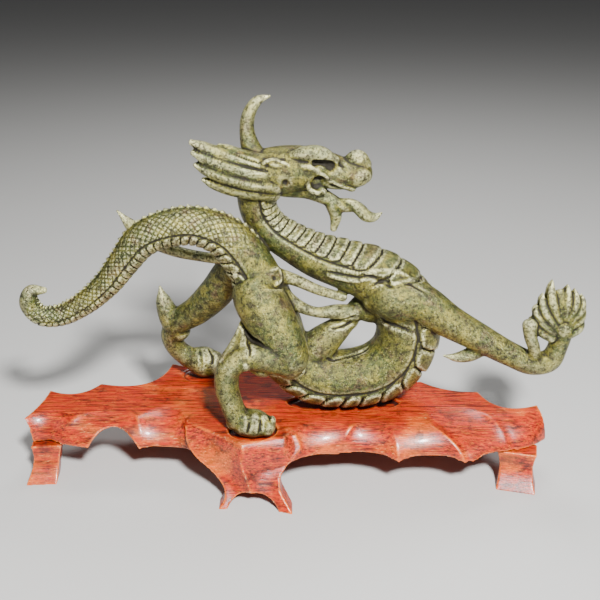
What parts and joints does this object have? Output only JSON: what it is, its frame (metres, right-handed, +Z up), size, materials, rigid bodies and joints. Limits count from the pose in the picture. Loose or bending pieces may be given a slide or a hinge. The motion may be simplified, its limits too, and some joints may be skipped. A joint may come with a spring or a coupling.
{
  "type": "dragon sculpture on carved stand",
  "caption": "Cast bronze dragon with coiled body, raised head and an outstretched paw holding a flaming pearl, on a carved lacquered wooden stand.",
  "frame": {"origin": "on the table, at the middle of the footprint", "axes": "+Z up, +X along the stand towards the outstretched paw, +Y away from the side that is looked at"},
  "size_m": [0.2974, 0.1042, 0.202],
  "materials": {
    "bronze": "green-brown patinated cast bronze, satin, with brighter worn high places",
    "lacquered_wood": "glossy red-brown lacquer, orange where worn at the edges"
  },
  "bodies": {
    "root": {"dragon": "bronze", "stand_top": "lacquered_wood", "foot_left": "lacquered_wood", "foot_right": "lacquered_wood", "foot_back_left": "lacquered_wood", "foot_back_right": "lacquered_wood"}
  },
  "joints": []
}
